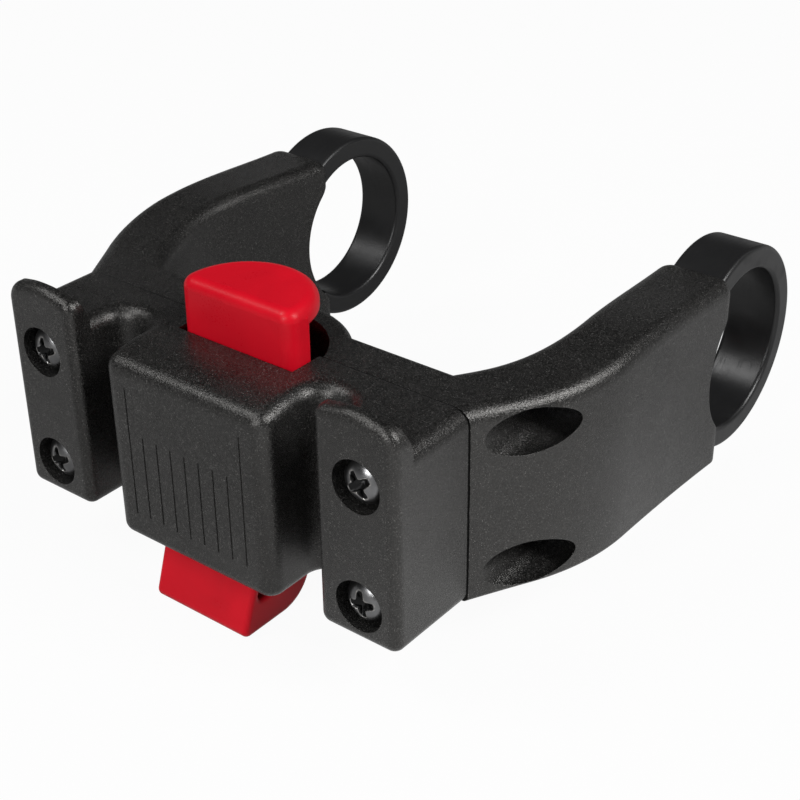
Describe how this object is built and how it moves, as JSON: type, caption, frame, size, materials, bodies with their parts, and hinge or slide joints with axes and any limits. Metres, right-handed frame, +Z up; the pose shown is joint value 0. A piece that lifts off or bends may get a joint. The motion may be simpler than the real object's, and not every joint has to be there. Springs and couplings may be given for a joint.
{
  "type": "bicycle handlebar bag mount",
  "caption": "Quick-release handlebar bag mount: a railed plate with a red push button and latch, on a forked yoke that straps round the bar.",
  "frame": {"origin": "middle of the handlebar's axis, in the strap loops", "axes": "+X along the handlebar, to the right as seen from the front; +Y from the bag side back to the handlebar; +Z up"},
  "size_m": [0.1282, 0.1334, 0.0674],
  "materials": {
    "black_nylon": "fine spark-eroded grain",
    "strap_plastic": "smooth semi-gloss",
    "red_plastic": "smooth satin",
    "black_steel": "black zinc",
    "zinc_steel": "zinc plated",
    "spring_steel": "drawn wire",
    "brass": "turned"
  },
  "bodies": {
    "mount": {"clamp_nut_lower_left": "zinc_steel", "clamp_nut_lower_right": "zinc_steel", "clamp_nut_upper_left": "zinc_steel", "clamp_nut_upper_right": "zinc_steel", "clamp_screw_lower_left": "zinc_steel", "clamp_screw_lower_right": "zinc_steel", "clamp_screw_upper_left": "zinc_steel", "clamp_screw_upper_right": "zinc_steel", "clamp_strap_left": "strap_plastic", "clamp_strap_right": "strap_plastic", "front_plate": "black_nylon", "plate_insert_lower_left": "brass", "plate_insert_lower_right": "brass", "plate_insert_upper_left": "brass", "plate_insert_upper_right": "brass", "plate_screw_lower_left": "black_steel", "plate_screw_lower_right": "black_steel", "plate_screw_upper_left": "black_steel", "plate_screw_upper_right": "black_steel", "return_spring": "spring_steel", "yoke": "black_nylon"},
    "slide": {"release_slide": "red_plastic"}
  },
  "joints": [
    {"name": "release_press", "type": "slide", "parent": "mount", "child": "slide", "axis": [0, 0, -1], "range_m": [0, 0.0064], "stiffness_N_per_m": 450, "springref_m": -0.012, "deforming": ["return_spring"]}
  ]
}
